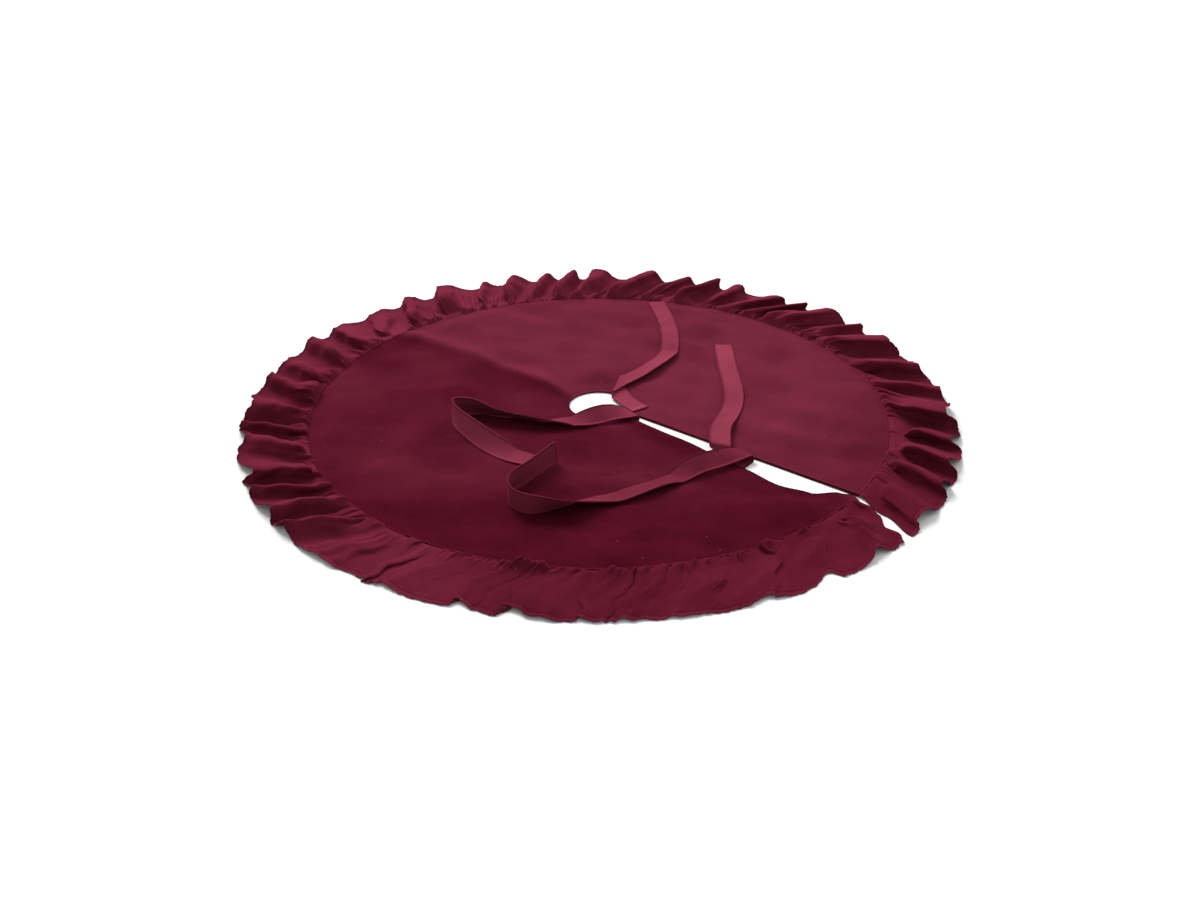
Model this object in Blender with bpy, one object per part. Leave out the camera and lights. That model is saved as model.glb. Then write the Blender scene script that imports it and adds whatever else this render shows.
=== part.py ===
# Ruffled tree skirt, laid out flat on the floor with its slit open and its four ties untied.
# Metres, +Z up. The origin is on the floor at the centre of the trunk hole. The slit runs along -Y,
# and the crease that the skirt is folded along for storage runs along +Y, straight across from it.
# "right" is the +X half and "left" the -X half. Each half is cloth of the same make.
import math

import bmesh
import bpy
import numpy as np
from mathutils import Vector

# Driving dimensions
HEM_RADIUS = 0.610           # centre of the hole to the hem of the ruffle
PANEL_RADIUS = 0.495         # centre of the hole to the seam that holds the ruffle
HOLE_RADIUS = 0.052          # trunk hole
LINING_THICKNESS = 0.0012
FACE_THICKNESS = 0.0018
FACING_WIDTH = 0.025         # turned-in strip along each side of the slit
HOLE_FACING_WIDTH = 0.020    # turned-in ring around the trunk hole
SLIT_EDGE_X = 0.010          # the right half's slit edge is straight, at this X
RUFFLE_END_GAP = 0.004       # between the two ends of the ruffle, in front of the slit

RUFFLE_THICKNESS = 0.0018
RUFFLE_HEIGHT = 0.027        # mean height of a wave at the hem
WAVES_PER_QUARTER = 10
WAVE_DRIFTS = [(11, 0.35), (23, 0.22)]     # times round the skirt, and share of a wave
WAVE_SWELLS = [(5, 0.18), (1, 0.12)]       # times round the skirt, and share of the height
FULL_HEIGHT_AT = 0.87        # share of the way from the seam to the hem
COLUMNS_PER_WAVE = 8
RUFFLE_RINGS = 4

TIE_WIDTH = 0.034
TIE_THICKNESS = 0.0016
TIE_STEP = 0.008             # spacing of the sections along a tie
TURN_STEPS = 8               # sections in each turned-over fold of a tie
TAB_LENGTH = 0.012           # stitched-down end of the tie that is sewn on top of the cloth
RULING_ROOM = 1.4            # how far a slanted turn shows along the ribbon, in its own reach
INNER_TIE_SETBACK = 0.001    # from the hole's rim to the side of the first pair of ties
INNER_TIE_INSET = 0.017      # from the slit's edge to the middle of the tie that is sewn on top
OUTER_RIGHT_TIE = 0.460      # where the second pair is sewn, as a share of the slit's length
OUTER_LEFT_TIE = 0.560
INNER_RIGHT_TURN = 0.0022    # inner radius of a turned-over fold, to the middle of the ribbon
INNER_LEFT_TURN = 0.004
OUTER_TURN = 0.0055
INNER_LEFT_REACH = 0.18      # how far a tie runs out of the slit's edge before it turns over, as
OUTER_RIGHT_REACH = 0.22     # a share of the tie's width
OUTER_LEFT_SPARE = 0.0023    # between the left outer tie's fold and the right half's edge
INNER_LEFT_SPARE = 0.00129   # the same for the left inner tie
INNER_LEFT_SLANT = 0.243     # of that tie's fold, sideways for each metre along it

CLEARANCE = 0.0003           # between pieces that touch
FOLD_AXIS_HEIGHT = 0.012     # the crease bends round this height above the floor
FOLD_SLOPE = 0.22            # height per metre from the crease that a folded half leaves free

# Width of the open slit beyond the hole: share of the length from hole to seam, and the gap there.
# The left half has slipped away a little, so its edge bows out and comes back at the seam.
SLIT_BOW = [(0.28, 0.024), (0.60, 0.041), (0.76, 0.052), (0.87, 0.042), (0.945, 0.014),
            (1.0, 0.003)]

# Ties. Each is sewn into the slit's edge, turns over on itself beside the edge, and lies on its own
# half. Each leg is the list of points that its middle line passes, in metres on a panel that goes
# from LAY_HOLE to LAY_RADIUS: X, Y, roll (degrees that the ribbon's leading side is turned up) and
# lift above the cloth. Between two legs the ribbon is turned over flat.
LAY_HOLE = 0.052
LAY_RADIUS = 0.495
INNER_RIGHT_LEGS = [
    [(0.039, -0.034, 0, 0.0), (0.050, -0.011, 0, 0.0), (0.066, 0.012, 0, 0.0)],
    [(0.130, 0.013, 6, 0.0015), (0.208, 0.013, 10, 0.001), (0.272, 0.042, -4, 0.001),
     (0.355, 0.108, 0, 0.0), (0.436, 0.194, 0, 0.0)],
]
INNER_LEFT_LEGS = [
    [(-0.028, -0.052, 22, 0.006), (-0.058, -0.036, 30, 0.003), (-0.090, -0.014, 0, 0.004),
     (-0.124, 0.018, -32, 0.0), (-0.152, 0.082, -45, 0.0), (-0.170, 0.138, -76, 0.0),
     (-0.196, 0.158, -90, 0.0), (-0.221, 0.122, -74, 0.0), (-0.236, 0.050, -48, 0.0),
     (-0.236, -0.012, -12, 0.0), (-0.228, -0.058, 0, 0.0)],
]
OUTER_RIGHT_LEGS = [
    [(0.044, -0.224, 0, 0.008), (0.102, -0.203, 0, 0.001), (0.166, -0.171, 0, 0.0),
     (0.260, -0.096, 0, 0.0), (0.347, -0.030, 0, 0.0)],
]
OUTER_LEFT_LEGS = [
    [(-0.040, -0.284, 22, 0.006), (-0.098, -0.266, 24, 0.002), (-0.158, -0.252, -12, 0.001),
     (-0.228, -0.220, -6, 0.0), (-0.300, -0.182, -38, 0.0), (-0.342, -0.152, -80, 0.0),
     (-0.352, -0.118, -90, 0.0), (-0.326, -0.090, -90, 0.0), (-0.266, -0.084, -86, 0.0),
     (-0.206, -0.078, -80, 0.0)],
]

# Worked out from the driving dimensions
FACE_BOTTOM = LINING_THICKNESS + CLEARANCE
FACE_TOP = FACE_BOTTOM + FACE_THICKNESS
SLIT_LENGTH = PANEL_RADIUS - HOLE_RADIUS
SLIT_HOLE_GAP = (INNER_LEFT_TURN + TIE_THICKNESS / 2 + INNER_LEFT_SPARE
                 + INNER_LEFT_SLANT * (1 + RULING_ROOM) * TIE_WIDTH / 2)
SLIT_GAPS = [(0.0, SLIT_HOLE_GAP)] + SLIT_BOW
LAY_SCALE = SLIT_LENGTH / (LAY_RADIUS - LAY_HOLE)
TIE_ROOT_HEIGHT = FACE_TOP / 2
HALF_GAP = CLEARANCE / 2

# How finely curves are drawn
ARC_STEP = math.radians(3)
EDGE_POINTS = 24             # along a side of the slit
STRIP_END_POINTS = 6         # along a rim, across a facing
ROOT_POINTS = 9              # across a tie's root


def smooth_curve(points, step):
    """Points about step apart along a Catmull-Rom curve through the given points."""
    points = [np.array(p, float) for p in points]
    ends = [2 * points[0] - points[1]] + points + [2 * points[-1] - points[-2]]
    samples = []
    for a, b, c, d in zip(ends, ends[1:], ends[2:], ends[3:]):
        count = max(2, round(float(np.linalg.norm((c - b)[:2])) / step))
        for i in range(count):
            t = i / count
            samples.append(0.5 * (2 * b + (c - a) * t + (2 * a - 5 * b + 4 * c - d) * t ** 2
                                  + (3 * b - a - 3 * c + d) * t ** 3))
    samples.append(points[-1])
    return samples


def ease(t):
    """0 to 1 with a level start and end."""
    t = min(1.0, max(0.0, t))
    return t * t * (3 - 2 * t)


# ---------------------------------------------------------------- scene and solids

def clear_scene():
    for old in list(bpy.data.objects):
        bpy.data.objects.remove(old, do_unlink=True)


def make_material(name, colour, roughness):
    material = bpy.data.materials.new(name)
    material.use_nodes = True
    shader = material.node_tree.nodes["Principled BSDF"]
    shader.inputs["Base Color"].default_value = (*colour, 1.0)
    shader.inputs["Roughness"].default_value = roughness
    shader.inputs["Metallic"].default_value = 0.0
    return material


def make_object(name, bm, material, parent=None, axis_point=(0, 0, 0)):
    """Turns a bmesh in world places into an object whose origin is on its joint's axis."""
    bmesh.ops.recalc_face_normals(bm, faces=bm.faces)
    bmesh.ops.translate(bm, verts=bm.verts, vec=-Vector(axis_point))
    mesh = bpy.data.meshes.new(name)
    bm.to_mesh(mesh)
    bm.free()
    mesh.materials.append(material)
    obj = bpy.data.objects.new(name, mesh)
    bpy.context.scene.collection.objects.link(obj)
    obj.parent = parent
    obj.location = Vector(axis_point) - (parent.location if parent else Vector())
    return obj


def plate(outline, bottom, top):
    """A flat plate: the outline, raised from bottom to top."""
    bm = bmesh.new()
    face = bm.faces.new([bm.verts.new((x, y, bottom)) for x, y in outline])
    raised = bmesh.ops.extrude_face_region(bm, geom=[face])["geom"]
    bmesh.ops.translate(bm, vec=(0, 0, top - bottom),
                        verts=[g for g in raised if isinstance(g, bmesh.types.BMVert)])
    return bm


# ---------------------------------------------------------------- outlines of a half

def slit_gap(radius):
    """Width of the open slit at a distance from the hole's centre."""
    share = (radius - HOLE_RADIUS) / SLIT_LENGTH
    if share >= 1:
        return SLIT_GAPS[-1][1]
    for (s0, g0), (s1, g1) in zip(SLIT_GAPS, SLIT_GAPS[1:]):
        if share <= s1:
            return g0 + (g1 - g0) * ease(max(0.0, share - s0) / (s1 - s0))


def slit_edge(side, radius):
    """Distance of a half's slit edge from the plane X = 0, counted towards its own side."""
    return SLIT_EDGE_X if side > 0 else slit_gap(radius) - SLIT_EDGE_X


def at_radius(side, radius, offset):
    """The point at that radius in front of the hole, offset from X = 0 towards the side."""
    return (side * offset, -math.sqrt(radius ** 2 - offset ** 2))


def arc(side, radius, start, end):
    """Points from angle start to end, measured from +Y towards the side."""
    count = max(2, round(abs(end - start) / ARC_STEP))
    angles = [start + (end - start) * i / count for i in range(count + 1)]
    return [(side * radius * math.sin(a), radius * math.cos(a)) for a in angles]


def half_ring(side, inner, outer, inset=0.0):
    """Outline of a half ring from the crease round to the slit's edge, or inset from that edge."""
    fold_outer, fold_inner = math.asin(HALF_GAP / outer), math.asin(HALF_GAP / inner)
    slit_outer = math.pi - math.asin((slit_edge(side, outer) + inset) / outer)
    slit_inner = math.pi - math.asin((slit_edge(side, inner) + inset) / inner)
    quarter = math.pi / 2
    points = arc(side, outer, fold_outer, quarter)[:-1] + arc(side, outer, quarter, slit_outer)
    radii = np.linspace(outer, inner, EDGE_POINTS)[1:-1]
    points += [at_radius(side, r, slit_edge(side, r) + inset) for r in radii]
    points += arc(side, inner, slit_inner, quarter)[:-1] + arc(side, inner, quarter, fold_inner)
    return points


def slit_strip(side, inner, outer, width):
    """Outline of a strip of that width along the slit's edge, between two radii."""
    radii = np.linspace(inner, outer, EDGE_POINTS)
    points = [at_radius(side, r, slit_edge(side, r)) for r in radii[:-1]]
    points += rim_across(side, outer, width)
    points += [at_radius(side, r, slit_edge(side, r) + width) for r in radii[-2:0:-1]]
    return points + rim_across(side, inner, width)[:0:-1]


def rim_across(side, radius, width):
    """Points of a rim from the slit's edge to a strip's far side."""
    offsets = np.linspace(0, width, STRIP_END_POINTS)
    return [at_radius(side, radius, slit_edge(side, radius) + offset) for offset in offsets]


# ---------------------------------------------------------------- ruffle

def wave_height(angle, outward):
    """Height of the ruffle's underside: signed angle from +Y, and 0 at the seam to 1 at the hem."""
    phase = 4 * WAVES_PER_QUARTER * angle / (2 * math.pi)
    phase += sum(share * math.sin(times * angle) for times, share in WAVE_DRIFTS)
    size = 1.0 + sum(share * math.cos(times * angle) for times, share in WAVE_SWELLS)
    radius = PANEL_RADIUS + (HEM_RADIUS - PANEL_RADIUS) * outward
    room = FOLD_AXIS_HEIGHT - RUFFLE_THICKNESS + FOLD_SLOPE * radius * abs(math.sin(angle))
    height = min(RUFFLE_HEIGHT * size, room)
    return height * ease(outward / FULL_HEIGHT_AT) * 0.5 * (1 - math.cos(2 * math.pi * phase))


def ruffle_width(side, back):
    """One joined width of the ruffle, a quarter of the way round, waved and closed."""
    quarter = math.pi / 2
    inner, outer = PANEL_RADIUS + CLEARANCE, HEM_RADIUS
    slit_end = SLIT_EDGE_X if side > 0 else RUFFLE_END_GAP - SLIT_EDGE_X
    columns = WAVES_PER_QUARTER * COLUMNS_PER_WAVE
    bm = bmesh.new()
    layers = {"bottom": [], "top": []}
    for i in range(columns + 1):
        for lift, layer in ((0.0, layers["bottom"]), (RUFFLE_THICKNESS, layers["top"])):
            row = []
            for j in range(RUFFLE_RINGS):
                outward = j / (RUFFLE_RINGS - 1)
                radius = inner + (outer - inner) * outward
                small = math.asin(HALF_GAP / radius)
                if back:
                    start, end = small, quarter
                else:
                    start, end = quarter + 2 * small, math.pi - math.asin(slit_end / radius)
                angle = start + (end - start) * i / columns
                z = wave_height(side * angle, outward) + lift
                row.append(bm.verts.new((side * radius * math.sin(angle), radius * math.cos(angle), z)))
            layer.append(row)
    close_grid(bm, layers["bottom"], layers["top"])
    return bm


def close_grid(bm, bottom, top):
    """Faces of a closed sheet from its bottom and top grids of vertices."""
    last_i, last_j = len(bottom) - 1, len(bottom[0]) - 1
    for i in range(last_i):
        for j in range(last_j):
            for grid in (bottom, top):
                bm.faces.new((grid[i][j], grid[i + 1][j], grid[i + 1][j + 1], grid[i][j + 1]))
        for j in (0, last_j):
            bm.faces.new((bottom[i][j], bottom[i + 1][j], top[i + 1][j], top[i][j]))
    for j in range(last_j):
        for i in (0, last_i):
            bm.faces.new((bottom[i][j], bottom[i][j + 1], top[i][j + 1], top[i][j]))


# ---------------------------------------------------------------- ties

def unit(vector):
    return vector / np.linalg.norm(vector)


def left_of(direction):
    """Level unit vector to the left of a direction of travel."""
    return unit(np.array([-direction[1], direction[0], 0.0]))


def resting_height(roll):
    """Height of the ribbon's middle line when its lower side rests on the face cloth."""
    return (FACE_TOP + CLEARANCE + TIE_WIDTH / 2 * abs(math.sin(roll))
            + TIE_THICKNESS / 2 * abs(math.cos(roll)))


def level(vector):
    return unit(np.array([vector[0], vector[1], 0.0]))


def turn_over(start, heading, next_point, radius):
    """Centres, directions and normals of a ribbon turned over flat, so that it goes on to
    next_point. The line it turns about slants by slide along the ribbon for each metre across."""
    away = level(next_point - start)
    for _ in range(3):
        line = heading + away
        line = unit(line) if np.linalg.norm(line) > 0.25 else left_of(heading)
        across = left_of(line)
        if np.dot(across, heading) < 0:
            across = -across
        slide = np.dot(heading, line) / np.dot(heading, across)
        finish = start + line * slide * math.pi * radius + np.array([0, 0, 2 * radius])
        away = level(next_point - finish)
    places = []
    for i in range(TURN_STEPS + 1):
        angle = math.pi * i / TURN_STEPS
        rise = np.array([0, 0, 1.0])
        centre = start + radius * (across * math.sin(angle) + line * slide * angle
                                   + rise * (1 - math.cos(angle)))
        travel = unit(across * math.cos(angle) + line * slide + rise * math.sin(angle))
        places.append((centre, travel, rise * math.cos(angle) - across * math.sin(angle)))
    return places, across, line, slide


class Tie:
    """The sections of a ribbon: middle, direction of travel, normal and half-width direction.

    lead is the level direction of the side that a positive roll turns up."""

    def __init__(self, start, heading, lead):
        self.centres, self.travels, self.normals, self.sides = [], [], [], []
        self.heading, self.lead, self.facing = heading, lead, 1
        self.turns = []
        self.add(start, heading, np.array([0, 0, 1.0]), lead)

    def add(self, centre, travel, normal, wide):
        self.centres.append(np.array(centre, float))
        self.travels.append(travel)
        self.normals.append(normal)
        self.sides.append(wide)

    def turn(self, run_before, radius, next_point):
        start = self.centres[-1] + self.heading * run_before
        if run_before == 0:
            for stored in (self.centres, self.travels, self.normals, self.sides):
                stored.pop()
        places, across, line, slide = turn_over(start, self.heading, next_point, radius)
        if np.dot(line, self.lead) < 0:
            line = -line
        slant = np.dot(line, self.heading) / np.dot(line, self.lead)
        first = len(self.centres)
        for centre, travel, normal in places:
            wide = unit(line - travel * np.dot(line, travel))
            self.add(centre, travel, normal * self.facing, wide)
        self.turns.append({"first": first, "last": len(self.centres) - 1, "slant": slant,
                           "across": across, "line": line, "radius": radius})
        self.heading = level(places[-1][1])
        self.lead = self.lead - 2 * np.dot(self.lead, across) * across
        self.facing = -self.facing

    def lay(self, leg):
        """Runs on through the leg's points, lying on the cloth."""
        begin = self.centres[-1]
        run = [(begin[0], begin[1], 0.0, begin[2] - resting_height(0))]
        run += [(*lay_point(point)[:2], *point[2:]) for point in leg]
        samples = smooth_curve(run, TIE_STEP)
        places = [np.array([x, y, resting_height(math.radians(roll)) + lift])
                  for x, y, roll, lift in samples]
        handed = 1 if np.dot(self.lead, left_of(self.heading)) > 0 else -1
        for k in range(1, len(places)):
            travel = unit(places[min(k + 1, len(places) - 1)] - places[k - 1])
            roll = math.radians(samples[k][2])
            level_side = left_of(travel) * handed
            up = np.cross(travel, level_side) * handed
            wide = math.cos(roll) * level_side + math.sin(roll) * up
            normal = math.cos(roll) * up - math.sin(roll) * level_side
            self.add(places[k], travel, normal * self.facing, wide)
        self.heading, self.lead = level(travel), left_of(travel) * handed

    def half_widths(self):
        """Half-width vectors: slanted with the line of each turn, and square away from it."""
        steps = [np.linalg.norm(b - a) for a, b in zip(self.centres, self.centres[1:])]
        along = np.concatenate([[0.0], np.cumsum(steps)])
        vectors = []
        for k, (wide, travel) in enumerate(zip(self.sides, self.travels)):
            slant = 0.0
            for turn in self.turns:
                away = max(along[turn["first"]] - along[k], along[k] - along[turn["last"]], 0.0)
                room = RULING_ROOM * abs(turn["slant"]) * TIE_WIDTH / 2 + 1e-9
                slant += turn["slant"] * max(0.0, 1 - away / room)
            vectors.append((wide + travel * slant) * TIE_WIDTH / 2)
        return vectors


def ribbon(tie, start, end):
    """A closed ribbon through the sections, cut short by half the clearance at a cut end."""
    bm = bmesh.new()
    bottom, top = [], []
    half_widths = tie.half_widths()
    last = len(tie.centres) - 1
    for k in range(start, end + 1):
        centre, travel = tie.centres[k], tie.travels[k]
        if k == start > 0:
            centre = centre + travel * HALF_GAP
        if k == end < last:
            centre = centre - travel * HALF_GAP
        thick = tie.normals[k] * TIE_THICKNESS / 2
        bottom.append([bm.verts.new(centre + half_widths[k] * s - thick) for s in (-1, 1)])
        top.append([bm.verts.new(centre + half_widths[k] * s + thick) for s in (-1, 1)])
    close_grid(bm, bottom, top)
    return bm


def lay_point(point):
    """A tie's point, as far between this panel's hole and seam as it was on the laid-out one."""
    radius = math.hypot(point[0], point[1])
    scale = (HOLE_RADIUS + (radius - LAY_HOLE) * LAY_SCALE) / radius
    return np.array([point[0] * scale, point[1] * scale, 0.0])


def tie_root(side, middle):
    """Where a tie comes out of the slit's edge, at that distance from the hole's centre."""
    span = np.linspace(middle - TIE_WIDTH / 2, middle + TIE_WIDTH / 2, ROOT_POINTS)
    nearest = min(slit_edge(side, radius) for radius in span)
    return at_radius(side, middle, nearest - CLEARANCE)


# ---------------------------------------------------------------- the skirt

def make_half(name, side, cloth, lining, parent):
    facing_rim = HOLE_RADIUS + HOLE_FACING_WIDTH
    outer = PANEL_RADIUS
    parts = {
        "face_panel": (half_ring(side, HOLE_RADIUS, outer), FACE_BOTTOM, FACE_TOP, cloth),
        "lining_panel": (half_ring(side, facing_rim + CLEARANCE, outer, FACING_WIDTH + CLEARANCE),
                         0.0, LINING_THICKNESS, lining),
        "hole_facing": (half_ring(side, HOLE_RADIUS, facing_rim), 0.0, LINING_THICKNESS, lining),
        "slit_facing": (slit_strip(side, facing_rim + CLEARANCE, outer, FACING_WIDTH),
                        0.0, LINING_THICKNESS, lining),
    }
    for part, (outline, bottom, top, material) in parts.items():
        make_object(f"{name}_{part}", plate(outline, bottom, top), material, parent, parent.location)
    for place, back in (("back", True), ("front", False)):
        width = make_object(f"{name}_ruffle_{place}", ruffle_width(side, back), cloth, parent,
                            parent.location)
        width.data.shade_smooth()
        width.data.set_sharp_from_angle(angle=math.radians(50))


def make_tie(name, tie, cut, hinge_point, material, parent):
    """The sewn tab that stays with the half, and the run that lifts about the hinge."""
    make_object(f"{name}_tab", ribbon(tie, 0, cut), material, parent, parent.location)
    pivot = bpy.data.objects.new(f"{name}_hinge", None)
    pivot.parent = parent
    pivot.location = Vector(hinge_point) - parent.location
    bpy.context.scene.collection.objects.link(pivot)
    run = make_object(name, ribbon(tie, cut, len(tie.centres) - 1), material, None,
                      Vector(hinge_point))
    run.parent = pivot
    run.location = (0, 0, 0)


def reach_across(middle, radius, next_point, spare):
    """How far a left tie runs out of its edge, to turn over beside the right half's edge."""
    x, y = tie_root(-1, middle)
    heading = np.array([1.0, 0.0, 0.0])
    reach = 0.0
    for _ in range(3):
        start = np.array([x + reach, y, TIE_ROOT_HEIGHT])
        line = turn_over(start, heading, next_point, radius)[2]
        corner = TIE_WIDTH / 2 * abs(line[0] / line[1])
        reach = SLIT_EDGE_X - x - radius - TIE_THICKNESS / 2 - corner - spare
    return reach


def edge_tie(name, side, middle, reach, radius, legs, material, parent):
    """A tie caught in the slit's edge, turned over in the slit and laid on its own half."""
    heading = np.array([-side, 0.0, 0.0])
    x, y = tie_root(side, middle)
    tie = Tie((x, y, TIE_ROOT_HEIGHT), heading, np.array([0, 1.0, 0]))
    tie.turn(reach, radius, lay_point(legs[0][0]))
    for leg in legs:
        tie.lay(leg)
    turn = tie.turns[0]
    cut = turn["first"] + TURN_STEPS // 2
    hinge_point = tie.centres[cut] + turn["across"] * (TIE_THICKNESS / 2 + HALF_GAP)
    make_tie(name, tie, cut, hinge_point, material, parent)


def top_tie(name, side, legs, turn_radius, material, parent):
    """A tie stitched on top of the cloth at the corner of the slit and the hole."""
    root = np.array([side * (SLIT_EDGE_X + INNER_TIE_INSET),
                     -HOLE_RADIUS - INNER_TIE_SETBACK - TIE_WIDTH / 2, resting_height(0)])
    heading = level(lay_point(legs[0][0]) - root)
    tie = Tie(root, heading, left_of(heading))
    tie.add(root + heading * TAB_LENGTH, heading, np.array([0, 0, 1.0]), tie.lead)
    tie.lay(legs[0])
    for leg in legs[1:]:
        tie.turn(0, turn_radius, lay_point(leg[0]))
        tie.lay(leg)
    hinge_point = tie.centres[1] + np.array([0, 0, TIE_THICKNESS / 2 + HALF_GAP])
    make_tie(name, tie, 1, hinge_point, material, parent)


def make_skirt():
    clear_scene()
    velvet = make_material("velvet", (0.130, 0.012, 0.030), 0.85)
    ribbon_velvet = make_material("tie_velvet", (0.165, 0.018, 0.038), 0.80)
    lining = make_material("lining", (0.190, 0.030, 0.030), 0.90)

    right = bpy.data.objects.new("right_half", None)
    left = bpy.data.objects.new("left_half", None)
    left.location = (0, 0, FOLD_AXIS_HEIGHT)
    for half in (right, left):
        bpy.context.scene.collection.objects.link(half)
    make_half("right", 1, velvet, lining, right)
    make_half("left", -1, velvet, lining, left)

    inner = HOLE_RADIUS + INNER_TIE_SETBACK + TIE_WIDTH / 2
    outer_right = HOLE_RADIUS + SLIT_LENGTH * OUTER_RIGHT_TIE
    outer_left = HOLE_RADIUS + SLIT_LENGTH * OUTER_LEFT_TIE
    top_tie("right_inner_tie", 1, INNER_RIGHT_LEGS, INNER_RIGHT_TURN, ribbon_velvet, right)
    edge_tie("left_inner_tie", -1, inner, INNER_LEFT_REACH * TIE_WIDTH, INNER_LEFT_TURN,
             INNER_LEFT_LEGS, ribbon_velvet, left)
    edge_tie("right_outer_tie", 1, outer_right, OUTER_RIGHT_REACH * TIE_WIDTH, OUTER_TURN,
             OUTER_RIGHT_LEGS, ribbon_velvet, right)
    across = reach_across(outer_left, OUTER_TURN, lay_point(OUTER_LEFT_LEGS[0][0]),
                          OUTER_LEFT_SPARE)
    edge_tie("left_outer_tie", -1, outer_left, across, OUTER_TURN, OUTER_LEFT_LEGS,
             ribbon_velvet, left)


make_skirt()
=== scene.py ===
# Ruffled velvet tree skirt, laid out flat with its slit open and its ties untied.
# Metres, +Z up, the origin on the floor at the centre of the trunk hole. The slit runs along -Y and
# the storage crease along +Y. Angles round the skirt are counted from +Y, positive towards +X.
import math

import bpy
import numpy as np
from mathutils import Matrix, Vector


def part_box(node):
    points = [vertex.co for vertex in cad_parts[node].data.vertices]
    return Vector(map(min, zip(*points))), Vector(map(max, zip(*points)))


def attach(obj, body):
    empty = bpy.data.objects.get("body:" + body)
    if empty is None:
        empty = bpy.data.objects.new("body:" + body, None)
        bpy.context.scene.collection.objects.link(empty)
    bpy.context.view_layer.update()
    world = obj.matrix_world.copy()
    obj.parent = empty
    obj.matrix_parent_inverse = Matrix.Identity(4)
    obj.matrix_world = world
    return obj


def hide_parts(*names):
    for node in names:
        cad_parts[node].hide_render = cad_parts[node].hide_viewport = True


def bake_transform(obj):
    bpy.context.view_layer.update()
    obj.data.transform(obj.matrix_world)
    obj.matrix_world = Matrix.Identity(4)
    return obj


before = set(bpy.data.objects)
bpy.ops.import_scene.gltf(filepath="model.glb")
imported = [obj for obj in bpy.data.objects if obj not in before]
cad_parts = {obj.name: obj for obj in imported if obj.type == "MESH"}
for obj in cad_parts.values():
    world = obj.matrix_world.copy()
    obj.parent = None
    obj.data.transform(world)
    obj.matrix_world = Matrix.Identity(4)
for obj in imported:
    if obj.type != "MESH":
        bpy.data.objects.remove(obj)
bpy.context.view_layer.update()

# ---------------- sizes, from the frame

PANEL_LOW, PANEL_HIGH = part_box("right_face_panel")
SEAM_RADIUS = PANEL_HIGH[0]
FACE_BOTTOM, FACE_TOP = PANEL_LOW[2], PANEL_HIGH[2]
LINING_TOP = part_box("right_lining_panel")[1][2]
FACING_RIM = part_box("right_hole_facing")[1][0]
HOLE_FACING_WIDTH = 0.020
HOLE_RADIUS = FACING_RIM - HOLE_FACING_WIDTH
SLIT_EDGE_X = 0.010          # the right half's edge is straight; the left one's follows SLIT_GAPS
SLIT_LENGTH = SEAM_RADIUS - HOLE_RADIUS
FACING_WIDTH = 0.025
TIE_WIDTH = 0.034
RUFFLE_LENGTH = 4.80         # the gathered strip, cut in widths and joined
RUFFLE_DEPTH = 0.116         # seam to hem, along the cloth
SEAM_ALLOWANCE = 0.004       # of the ruffle, caught under the face cloth's edge

FACE_THICKNESS = FACE_TOP - FACE_BOTTOM
TIE_THICKNESS = 0.0020
RUFFLE_THICKNESS = 0.0010
HEM_WIDTH = 0.008            # turned up along the ruffle's hem
LAYER_GAP = 0.0006           # between the edges of two pieces of one layer
FRONT_ANGLE = math.radians(-128.5)   # the side that the skirt was smoothed from

# Width of the open slit: share of the way from the hole to the seam, and the gap there
SLIT_GAPS = [(0.0, 0.016), (0.28, 0.024), (0.60, 0.041), (0.76, 0.052),
             (0.87, 0.042), (0.945, 0.014), (1.0, 0.003)]
# The ruffle's two ends beside the slit: share of the way from the seam to the hem, and X there.
# The right half's end hangs across in front of the slit.
RIGHT_RUFFLE_END = [(0.0, 0.008), (0.5, -0.016), (1.0, -0.042)]
LEFT_RUFFLE_END = [(0.0, -0.002), (0.165, -0.010), (0.30, -0.010), (0.435, -0.020),
                   (0.67, -0.046), (0.84, -0.046), (1.0, -0.064)]

# How the panel's cloth stands above flat
CREASE_HEIGHT = 0.0072
CREASE_WIDTHS = (0.026, 0.013)   # of its slopes, on the right half and on the left one
BILLOW = 0.0042
BROAD_WAVE, MIDDLE_WAVE = 0.0019, 0.0014
CALM = 0.08                  # share of the billow that is left along the slit's edges
SEAM_ROLL, SEAM_PUCKER = 0.0008, 0.00045


def ease(t):
    """0 to 1 with a level start and end."""
    t = np.clip(t, 0.0, 1.0)
    return t * t * (3 - 2 * t)


def eased_table(table, share):
    """A width read from a table of (share, width) with level steps between its rows."""
    shares, widths = zip(*table)
    k = int(np.clip(np.searchsorted(shares, share, side="right") - 1, 0, len(shares) - 2))
    return widths[k] + (widths[k + 1] - widths[k]) * float(
        ease((share - shares[k]) / (shares[k + 1] - shares[k])))


def soft_field(seed, shortest, longest, count=16):
    """A smooth random field over X and Y, about -2 to 2, made of waves of those lengths."""
    draw = np.random.default_rng(seed)
    waves = [(1 / draw.uniform(shortest, longest), draw.uniform(0, 2 * math.pi),
              draw.uniform(0, 2 * math.pi)) for _ in range(count)]

    def field(x, y):
        total = sum(np.sin(2 * math.pi * f * (x * math.cos(a) + y * math.sin(a)) + p)
                    for f, a, p in waves)
        return total / math.sqrt(count / 2)
    return field


BROAD = soft_field(3, 0.16, 0.34)
MIDDLE = soft_field(5, 0.06, 0.13)
PUCKER = soft_field(8, 0.012, 0.026)


def slit_edge(side, radius):
    """Distance of a half's slit edge from the plane X = 0, counted towards its own side."""
    if side > 0:
        return SLIT_EDGE_X
    return eased_table(SLIT_GAPS, (radius - HOLE_RADIUS) / SLIT_LENGTH) - SLIT_EDGE_X


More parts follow.
